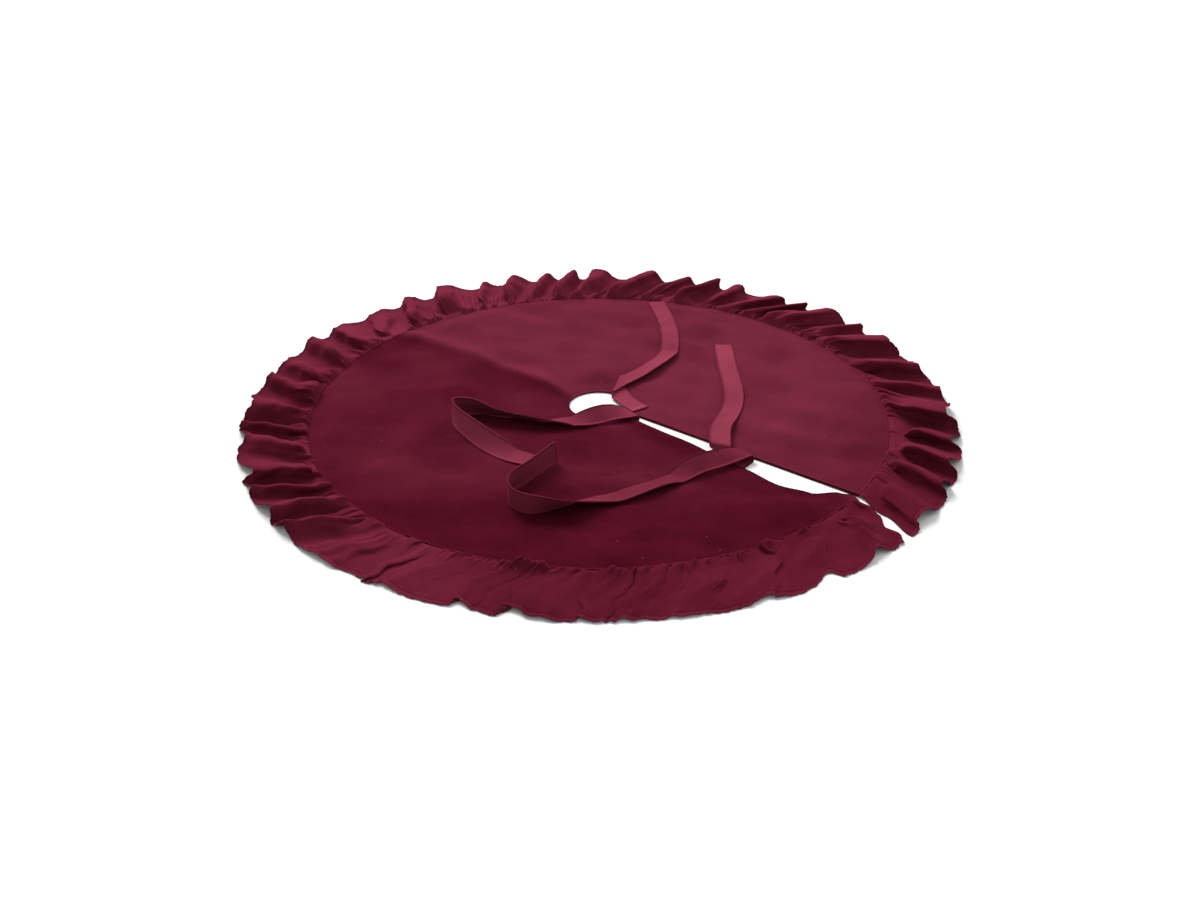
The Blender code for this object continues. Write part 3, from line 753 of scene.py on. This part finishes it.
def height_on_floor(up, angle, x, out, by_end):
    """Height of the strip's middle above the floor, from how far its gathers rise."""
    gentle = (1 - (1 - FLAT_FRONT) * frontness(angle)) * (0.35 + 0.65 * by_end)
    close = math.exp(-(out / 0.17) ** 2)
    gentle = gentle + (1 - gentle) * 0.85 * close
    up = up + SEAM_RISE * math.exp(-(out / 0.16) ** 2)
    up = 0.5 * (up + np.sqrt(up ** 2 + ROUNDING ** 2))
    puff = SEAM_PUFF * ease(out / 0.05) * math.exp(-(max(out - 0.05, 0) / 0.14) ** 2)
    up = up * gentle + puff
    room = np.minimum(0.0095 + 0.24 * np.abs(x), TALLEST_FOLD)
    up = up * room / (up ** 4 + room ** 4) ** 0.25
    return FLOOR_GAP + RUFFLE_THICKNESS / 2 + up * ease(out / 0.03)


def ruffle_grid(columns, shares):
    """Middle points of the gathered strip: columns along it, rings from the seam to the hem."""
    strip = Strip(columns)
    spans = strip.lengths * shortened(strip.swing)
    edges = np.concatenate([[0], np.cumsum(spans)]) / spans.sum()
    grid = np.empty((columns, len(shares), 3))
    for j, share in enumerate(shares):
        out = max(share, 0.0)
        radius = SEAM_RADIUS + RUFFLE_DEPTH * share
        right_end = math.pi - math.asin(eased_table(RIGHT_RUFFLE_END, out) / radius)
        left_end = -math.pi - math.asin(eased_table(LEFT_RUFFLE_END, out) / radius)
        chord = (right_end - left_end) * radius * spans / spans.sum()
        every, broad = strip.directions(out, np.clip(chord / strip.lengths, 0.2, 0.999))
        along, up = laid_out(every, strip.s[1] - strip.s[0])
        crest = strip.above_folds(laid_out(broad, strip.s[1] - strip.s[0])[1])
        place = np.interp(along, np.interp(strip.bounds, strip.s, along), edges)
        angle = right_end + (left_end - right_end) * place
        by_end = ease((right_end - angle) * radius / 0.07)
        shift = lean_at(angle) * np.maximum(crest, 0)
        shift = shift + SWAY * strip.sway * out ** 2 * by_end * ease((angle - left_end) * 6)
        z = height_on_floor(strip.above_folds(up), angle, radius * np.sin(angle), out, by_end)
        if j == 0:
            reach = np.full(columns, radius)
        else:
            run = (share - shares[j - 1]) * RUFFLE_DEPTH
            spare = run ** 2 - (z - last_z) ** 2 - (shift - last_shift) ** 2
            reach = reach + np.sqrt(np.maximum(spare, (LEAST_RUN * run) ** 2))
        last_z, last_shift = z, shift
        turned = angle + shift / reach
        grid[:, j] = np.stack([reach * np.sin(turned), reach * np.cos(turned), z], axis=-1)
    return grid


def lean_at(angle):
    """How far the folds lean over, as a share of their height, towards larger angles: away from
    the back on both sides, and either way where they were smoothed down at the front."""
    back = FRONT_ANGLE + math.pi
    turn = (angle - back + math.pi) % (2 * math.pi) - math.pi
    side = np.tanh(turn / 0.5)
    swell = 0.85 + 0.28 * np.sin(5.3 * angle + 0.7) + 0.22 * np.sin(11.7 * angle + 2.0)
    front = frontness(angle)
    lapped = 1.1 * np.sin(4.3 * (angle - FRONT_ANGLE) + 0.9)
    return side * swell * (1 - front) + lapped * front


def make_ruffle():
    """The gathered strip in its three widths: one round the back, and one each side in front."""
    shares = np.concatenate([[-SEAM_ALLOWANCE / RUFFLE_DEPTH, 0.0], np.linspace(0.025, 0.30, 8),
                             np.linspace(0.36, 1.0, 12)])
    grid = ruffle_grid(RUFFLE_COLUMNS + 1, shares)
    hem = np.broadcast_to((1 - shares) * RUFFLE_DEPTH, grid.shape[:2])
    angle = np.arctan2(grid[..., 0], grid[..., 1])
    # Painted shade on the ruffle: none at the back, where the light comes from, more round the
    # sides and front
    away = RUFFLE_SIDE_PAINTED_SHADE - RUFFLE_SIDE_PAINTED_SHADE * ease((np.cos(angle - FRONT_ANGLE - math.pi) - 0.05) / 0.6)
    away = away + RUFFLE_FRONT_PAINTED_SHADE * frontness(angle + 0.35)
    quarter = RUFFLE_COLUMNS // 4
    widths = {"right_ruffle_front": (0, quarter + 1), "ruffle_back": (quarter, 3 * quarter + 1),
              "left_ruffle_front": (3 * quarter, RUFFLE_COLUMNS + 1)}
    for name, (first, last) in widths.items():
        part = slice(first, last)
        width = closed_sheet(f"{name}_width", grid[part], RUFFLE_THICKNESS, RUFFLE_VELVET,
                             RUFFLE_WRONG_SIDE, edge=hem[part], away=away[part])
        thread = hem_stitches(f"{name}_hem_thread", grid[part], shares)
        for piece in (width, thread):
            if name == "ruffle_back":
                bend_at_crease(piece)
            else:
                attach(piece, name.replace("_ruffle_front", "_half"))
        nodes = ["right_ruffle_back", "left_ruffle_back"] if name == "ruffle_back" else [name]
        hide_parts(*nodes)


# ---------------- ties

# The points that each tie's middle line passes, as X, Y, roll in degrees and lift above the cloth.
# Between two legs the ribbon is turned over flat.
INNER_RIGHT_LEGS = [
    [(0.039, -0.034, 0, 0.0), (0.050, -0.011, 0, 0.0), (0.066, 0.012, 0, 0.0)],
    [(0.130, 0.013, 6, 0.0015), (0.208, 0.013, 10, 0.001), (0.272, 0.042, -4, 0.001),
     (0.355, 0.108, 0, 0.0), (0.436, 0.194, 0, 0.0)],
]
INNER_LEFT_LEGS = [
    [(-0.028, -0.054, 22, 0.006), (-0.058, -0.038, 30, 0.003), (-0.090, -0.014, 0, 0.004),
     (-0.124, 0.018, -32, 0.0), (-0.152, 0.082, -45, 0.0), (-0.170, 0.138, -76, 0.0),
     (-0.196, 0.158, -90, 0.0), (-0.221, 0.122, -74, 0.0), (-0.236, 0.050, -48, 0.0),
     (-0.236, -0.012, -12, 0.0), (-0.228, -0.058, 0, 0.0)],
]
OUTER_RIGHT_LEGS = [
    [(0.044, -0.224, 0, 0.008), (0.102, -0.203, 0, 0.001), (0.166, -0.171, 0, 0.0),
     (0.260, -0.096, 0, 0.0), (0.347, -0.030, 0, 0.0)],
]
OUTER_LEFT_LEGS = [
    [(-0.040, -0.284, 22, 0.006), (-0.098, -0.266, 24, 0.002), (-0.158, -0.252, -12, 0.001),
     (-0.228, -0.220, -6, 0.0), (-0.300, -0.182, -38, 0.0), (-0.342, -0.152, -80, 0.0),
     (-0.352, -0.118, -90, 0.0), (-0.326, -0.090, -90, 0.0), (-0.266, -0.084, -86, 0.0),
     (-0.206, -0.078, -80, 0.0)],
]
CLEARANCE = 0.0003
INNER_TIE_SETBACK = 0.001    # of the inner ties' sides from the hole
INNER_TIE_INSET = 0.017      # of the right inner tie's root from the slit's edge
LEFT_TIE_ROOM = 0.0018       # keeps the left inner tie clear of the right one
OUTER_RIGHT_TIE, OUTER_LEFT_TIE = 0.460, 0.560   # places, as shares of the slit's length
TIE_STEP = 0.004
TURN_STEPS = 14
TAB_LENGTH = 0.012
RULING_ROOM = 1.4            # how far a turn's slant fades out along the ribbon
TIE_ROOT_HEIGHT = FACE_TOP / 2
CAD_TIE_THICKNESS = 0.0016
TIE_RIPPLE, TIE_CROWN = 0.00025, 0.0002
UP = np.array([0, 0, 1.0])


def unit(vector):
    return vector / np.linalg.norm(vector)


def left_of(direction):
    return unit(np.array([-direction[1], direction[0], 0.0]))


def flat_unit(vector):
    return unit(np.array([vector[0], vector[1], 0.0]))


def smooth_curve(points, step):
    """Points about step apart along a Catmull-Rom curve through the given points."""
    points = [np.array(p, float) for p in points]
    ends = [2 * points[0] - points[1]] + points + [2 * points[-1] - points[-2]]
    samples = []
    for a, b, c, d in zip(ends, ends[1:], ends[2:], ends[3:]):
        count = max(2, round(float(np.linalg.norm((c - b)[:2])) / step))
        for i in range(count):
            t = i / count
            samples.append(0.5 * (2 * b + (c - a) * t + (2 * a - 5 * b + 4 * c - d) * t ** 2
                                  + (3 * b - a - 3 * c + d) * t ** 3))
    samples.append(points[-1])
    return samples


def resting_height(roll):
    """Height of the ribbon's middle line when its lower side rests on the face cloth."""
    return (FACE_TOP + CLEARANCE + TIE_WIDTH / 2 * abs(math.sin(roll))
            + CAD_TIE_THICKNESS / 2 * abs(math.cos(roll)))


def cloth_rise(x, y):
    """How far the face cloth stands above flat under a ribbon's width there."""
    reach = TIE_WIDTH / 2 * np.array([-1.0, -0.5, 0.0, 0.5, 1.0])
    across, along = np.meshgrid(reach, reach)
    return float(np.mean(np.sort(lift(x + across, y + along).ravel())[-8:]))


class Ribbon:
    """A tie's sections: middle, travel, normal and half-width direction. lead is the level
    direction of the side that a positive roll turns up."""

    def __init__(self, start, heading, lead):
        self.centres, self.travels, self.normals, self.sides = [], [], [], []
        self.heading, self.lead, self.facing = heading, lead, 1
        self.turns = []
        self.add(start, heading, UP, lead)

    def add(self, centre, travel, normal, wide):
        self.centres.append(np.array(centre, float))
        self.travels.append(travel)
        self.normals.append(normal)
        self.sides.append(wide)

    def turn(self, run_before, radius, next_point):
        """Turns the ribbon over flat, so that it goes on towards next_point."""
        start = self.centres[-1] + self.heading * run_before
        if run_before == 0:
            for stored in (self.centres, self.travels, self.normals, self.sides):
                stored.pop()
        away = flat_unit(next_point - start)
        for _ in range(3):
            line = self.heading + away
            line = unit(line) if np.linalg.norm(line) > 0.25 else left_of(self.heading)
            across = left_of(line)
            if np.dot(across, self.heading) < 0:
                across = -across
            slide = np.dot(self.heading, line) / np.dot(self.heading, across)
            finish = start + line * slide * math.pi * radius + UP * 2 * radius
            away = flat_unit(next_point - finish)
        lead_line = line if np.dot(line, self.lead) > 0 else -line
        slant = np.dot(lead_line, self.heading) / np.dot(lead_line, self.lead)
        first = len(self.centres)
        for i in range(TURN_STEPS + 1):
            angle = math.pi * i / TURN_STEPS
            centre = start + radius * (across * math.sin(angle) + line * slide * angle
                                       + UP * (1 - math.cos(angle)))
            travel = unit(across * math.cos(angle) + line * slide + UP * math.sin(angle))
            normal = UP * math.cos(angle) - across * math.sin(angle)
            wide = unit(lead_line - travel * np.dot(lead_line, travel))
            self.add(centre, travel, normal * self.facing, wide)
        self.turns.append({"first": first, "last": len(self.centres) - 1, "slant": slant,
                           "across": across, "start": start, "radius": radius})
        self.heading = flat_unit(travel)
        self.lead = self.lead - 2 * np.dot(self.lead, across) * across
        self.facing = -self.facing

    def lay(self, leg):
        """Runs on through the leg's points, lying on the cloth and following its rise."""
        begin = self.centres[-1]
        run = [(begin[0], begin[1], 0.0, begin[2] - resting_height(0) - cloth_rise(*begin[:2]))]
        samples = smooth_curve(run + leg, TIE_STEP)
        places = [np.array([x, y, resting_height(math.radians(roll)) + above + cloth_rise(x, y)])
                  for x, y, roll, above in samples]
        handed = 1 if np.dot(self.lead, left_of(self.heading)) > 0 else -1
        for k in range(1, len(places)):
            travel = unit(places[min(k + 1, len(places) - 1)] - places[k - 1])
            roll = math.radians(samples[k][2])
            level_side = left_of(travel) * handed
            up = np.cross(travel, level_side) * handed
            self.add(places[k], travel, (math.cos(roll) * up - math.sin(roll) * level_side)
                     * self.facing, math.cos(roll) * level_side + math.sin(roll) * up)
        self.heading, self.lead = flat_unit(travel), left_of(travel) * handed

    def grid(self, points_across):
        """Middle points of the ribbon, with slanted rulings at each flat turn."""
        centres = np.array(self.centres)
        along = length_along(centres)
        rows = []
        for k, (centre, wide, travel) in enumerate(zip(centres, self.sides, self.travels)):
            slant = 0.0
            for turn in self.turns:
                away = max(along[turn["first"]] - along[k], along[k] - along[turn["last"]], 0.0)
                room = RULING_ROOM * abs(turn["slant"]) * TIE_WIDTH / 2 + 1e-9
                slant += turn["slant"] * max(0.0, 1 - away / room)
            half = (wide + travel * slant) * TIE_WIDTH / 2
            rows.append([centre + half * s for s in np.linspace(-1, 1, points_across)])
        return np.array(rows), along


def tie_root(side, middle):
    """Where a tie comes out of the slit's edge, at that distance from the hole's centre."""
    span = np.linspace(middle - TIE_WIDTH / 2, middle + TIE_WIDTH / 2, 9)
    nearest = min(slit_edge(side, radius) for radius in span) - CLEARANCE
    return np.array([side * nearest, -math.sqrt(middle ** 2 - nearest ** 2), TIE_ROOT_HEIGHT])


def finish_tie(name, ribbon, away):
    """Makes the ribbon a sewn tube pressed flat."""
    grid, along = ribbon.grid(9)
    columns, rings = grid.shape[:2]
    normal = np.array(ribbon.normals)[:, None, :]
    draw = np.random.default_rng(len(name))
    waves = [(draw.uniform(0.05, 0.16), draw.uniform(0, 6.28), draw.uniform(-1, 1))
             for _ in range(5)]
    across = np.linspace(-1, 1, rings)
    ripple = sum(np.sin(2 * math.pi * along[:, None] / length + phase + slope * across[None, :])
                 for length, phase, slope in waves) / 5
    crown = 1 - across[None, :] ** 2
    grid = grid + normal * (TIE_RIPPLE * ripple * (0.4 + crown) + TIE_CROWN * crown)[..., None]
    # painted shade, the same over the whole tie
    tie = closed_sheet(name, grid, TIE_THICKNESS, TIE_VELVET, away=np.full((columns, rings), away))
    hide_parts(name.replace("_ribbon", ""), name.replace("_ribbon", "_tab"))
    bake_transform(tie)


def edge_tie(name, middle, reach, radius, legs, away):
    """A tie caught in the slit's edge, turned over in the slit and laid on its own half."""
    side = 1 if name.startswith("right") else -1
    heading = np.array([-side, 0.0, 0.0])
    ribbon = Ribbon(tie_root(side, middle), heading, np.array([0, 1.0, 0]))
    next_point = np.array([*legs[0][0][:2], 0.0])
    ribbon.turn(reach, radius, next_point)
    for leg in legs:
        ribbon.lay(leg)
    finish_tie(name, ribbon, away)


def top_tie(name, radius, legs, away):
    """A tie stitched on top of the right half, at the corner of the slit and the hole."""
    root = np.array([SLIT_EDGE_X + INNER_TIE_INSET,
                     -HOLE_RADIUS - INNER_TIE_SETBACK - TIE_WIDTH / 2, resting_height(0)])
    root[2] += cloth_rise(*root[:2])
    heading = flat_unit(np.array([*legs[0][0][:2], 0.0]) - root)
    ribbon = Ribbon(root, heading, left_of(heading))
    ribbon.add(root + heading * TAB_LENGTH, heading, UP, ribbon.lead)
    ribbon.lay(legs[0])
    for leg in legs[1:]:
        ribbon.turn(0, radius, np.array([*leg[0][:2], 0.0]))
        ribbon.lay(leg)
    finish_tie(name, ribbon,
               away)


def make_ties():
    """The four ties. Each is given its share of painted shade."""
    inner = HOLE_RADIUS + INNER_TIE_SETBACK + LEFT_TIE_ROOM + TIE_WIDTH / 2
    top_tie("right_inner_tie_ribbon", radius=0.0022, legs=INNER_RIGHT_LEGS, away=0.0)
    edge_tie("left_inner_tie_ribbon", middle=inner, reach=0.18 * TIE_WIDTH, radius=0.004,
             legs=INNER_LEFT_LEGS, away=0.22)
    edge_tie("right_outer_tie_ribbon", middle=HOLE_RADIUS + SLIT_LENGTH * OUTER_RIGHT_TIE,
             reach=0.22 * TIE_WIDTH, radius=0.0055, legs=OUTER_RIGHT_LEGS, away=0.0)
    edge_tie("left_outer_tie_ribbon", middle=HOLE_RADIUS + SLIT_LENGTH * OUTER_LEFT_TIE,
             reach=0.79 * TIE_WIDTH, radius=0.0055, legs=OUTER_LEFT_LEGS, away=0.55)


# ---------------- floor, light and camera

FLOOR_REACH = 60.0
FLOOR_GREY = 0.86
HORIZON, OVERHEAD = (1.0, 1.0, 1.0), (0.52, 0.52, 0.52)
# Name, place, brightness and softness in degrees
SUNS = [("back_light", (0.9, 1.9, 1.7), 3.6, 32), ("side_light", (2.4, -0.6, 1.5), 0.8, 45)]
LENS = 34.27
CAMERA_PLACE, CAMERA_AIM = (-1.388, -1.107, 0.911), (-0.121, -0.099, 0.0)


def look_at(obj, target):
    direction = Vector(target) - obj.location
    obj.rotation_euler = direction.to_track_quat("-Z", "Y").to_euler()


def make_floor():
    mesh = bpy.data.meshes.new("floor")
    reach = FLOOR_REACH
    mesh.from_pydata([(-reach, -reach, 0), (reach, -reach, 0), (reach, reach, 0),
                      (-reach, reach, 0)], [], [(0, 1, 2, 3)])
    pale, _, shader = plain_material("pale_floor", roughness=0.9, specular=0.1)
    shader.inputs["Base Color"].default_value = (FLOOR_GREY, FLOOR_GREY, FLOOR_GREY, 1.0)
    mesh.materials.append(pale)
    new_object("floor", mesh)


def make_light():
    """A studio that is brightest at the horizon, and even light from two sides."""
    world = bpy.data.worlds.new("studio")
    world.use_nodes = True
    sky = world.node_tree
    place = add_node(sky, "ShaderNodeTexCoord").outputs["Generated"]
    rise = add_node(sky, "ShaderNodeSeparateXYZ", {"Vector": place}).outputs["Z"]
    sky.links.new(ramp(sky, rise, [(0.0, HORIZON), (0.45, OVERHEAD)]),
                  sky.nodes["Background"].inputs["Color"])
    bpy.context.scene.world = world
    bpy.context.scene.view_settings.view_transform = "Standard"
    for name, place, brightness, softness in SUNS:
        light = bpy.data.lights.new(name, "SUN")
        light.energy = brightness
        light.angle = math.radians(softness)
        sun = new_object(name, light)
        sun.location = place
        look_at(sun, (0, 0, 0))


def make_camera():
    camera = bpy.data.cameras.new("camera")
    camera.sensor_width = 36.0
    camera.lens = LENS
    obj = new_object("camera", camera)
    obj.location = CAMERA_PLACE
    look_at(obj, CAMERA_AIM)
    bpy.context.scene.camera = obj


make_floor()
make_light()
make_camera()
make_face_cloth()
make_lining()
make_facings()
make_edge_stitches()
make_ruffle()
make_ties()
